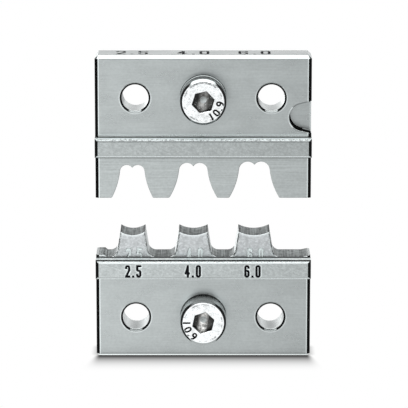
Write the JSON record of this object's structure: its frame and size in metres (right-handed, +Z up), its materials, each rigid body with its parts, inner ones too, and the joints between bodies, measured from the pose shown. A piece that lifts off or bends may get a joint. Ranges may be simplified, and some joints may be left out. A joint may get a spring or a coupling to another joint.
{
  "type": "crimp die insert",
  "caption": "Two-part crimp die insert for a hand crimping tool: a lower half with hollow-tipped punches and an upper half with matching double-lobed cavities.",
  "frame": {"origin": "centre of the lower half's foot, the flat face that it stands on", "axes": "+Z up, from the lower half to the upper half, along the closing movement; +X to the right along the row of crimps, from the smallest to the largest; +Y from the mounting faces to the back"},
  "size_m": [0.033, 0.014, 0.0469],
  "materials": {
    "die_steel": "satin ground tool steel, matt where it is wire cut",
    "bar_steel": "satin ground tool steel",
    "pin_steel": "ground",
    "screw_plating": "bright zinc plating",
    "mark_enamel": "black enamel"
  },
  "bodies": {
    "lower_half": {"lower_die_block": "die_steel", "lower_thrust_bar": "bar_steel", "lower_bar_pin_left": "pin_steel", "lower_bar_pin_right": "pin_steel", "bar_mark_2_5": "mark_enamel", "bar_mark_4_0": "mark_enamel", "bar_mark_6_0": "mark_enamel"},
    "upper_half": {"upper_die_block": "die_steel", "upper_thrust_bar": "bar_steel", "upper_bar_pin_left": "pin_steel", "upper_bar_pin_right": "pin_steel", "top_mark_2_5": "mark_enamel", "top_mark_4_0": "mark_enamel", "top_mark_6_0": "mark_enamel"},
    "lower_screw": {"lower_cap_screw": "screw_plating"},
    "upper_screw": {"upper_cap_screw": "screw_plating"}
  },
  "joints": [
    {"name": "die_close", "type": "slide", "parent": "lower_half", "child": "upper_half", "axis": [0, 0, -1], "range_m": [0, 0.00892]},
    {"name": "lower_screw_out", "type": "slide", "parent": "lower_half", "child": "lower_screw", "axis": [0, -1, 0], "range_m": [0, 0.0105]},
    {"name": "upper_screw_out", "type": "slide", "parent": "upper_half", "child": "upper_screw", "axis": [0, -1, 0], "range_m": [0, 0.0105]}
  ]
}
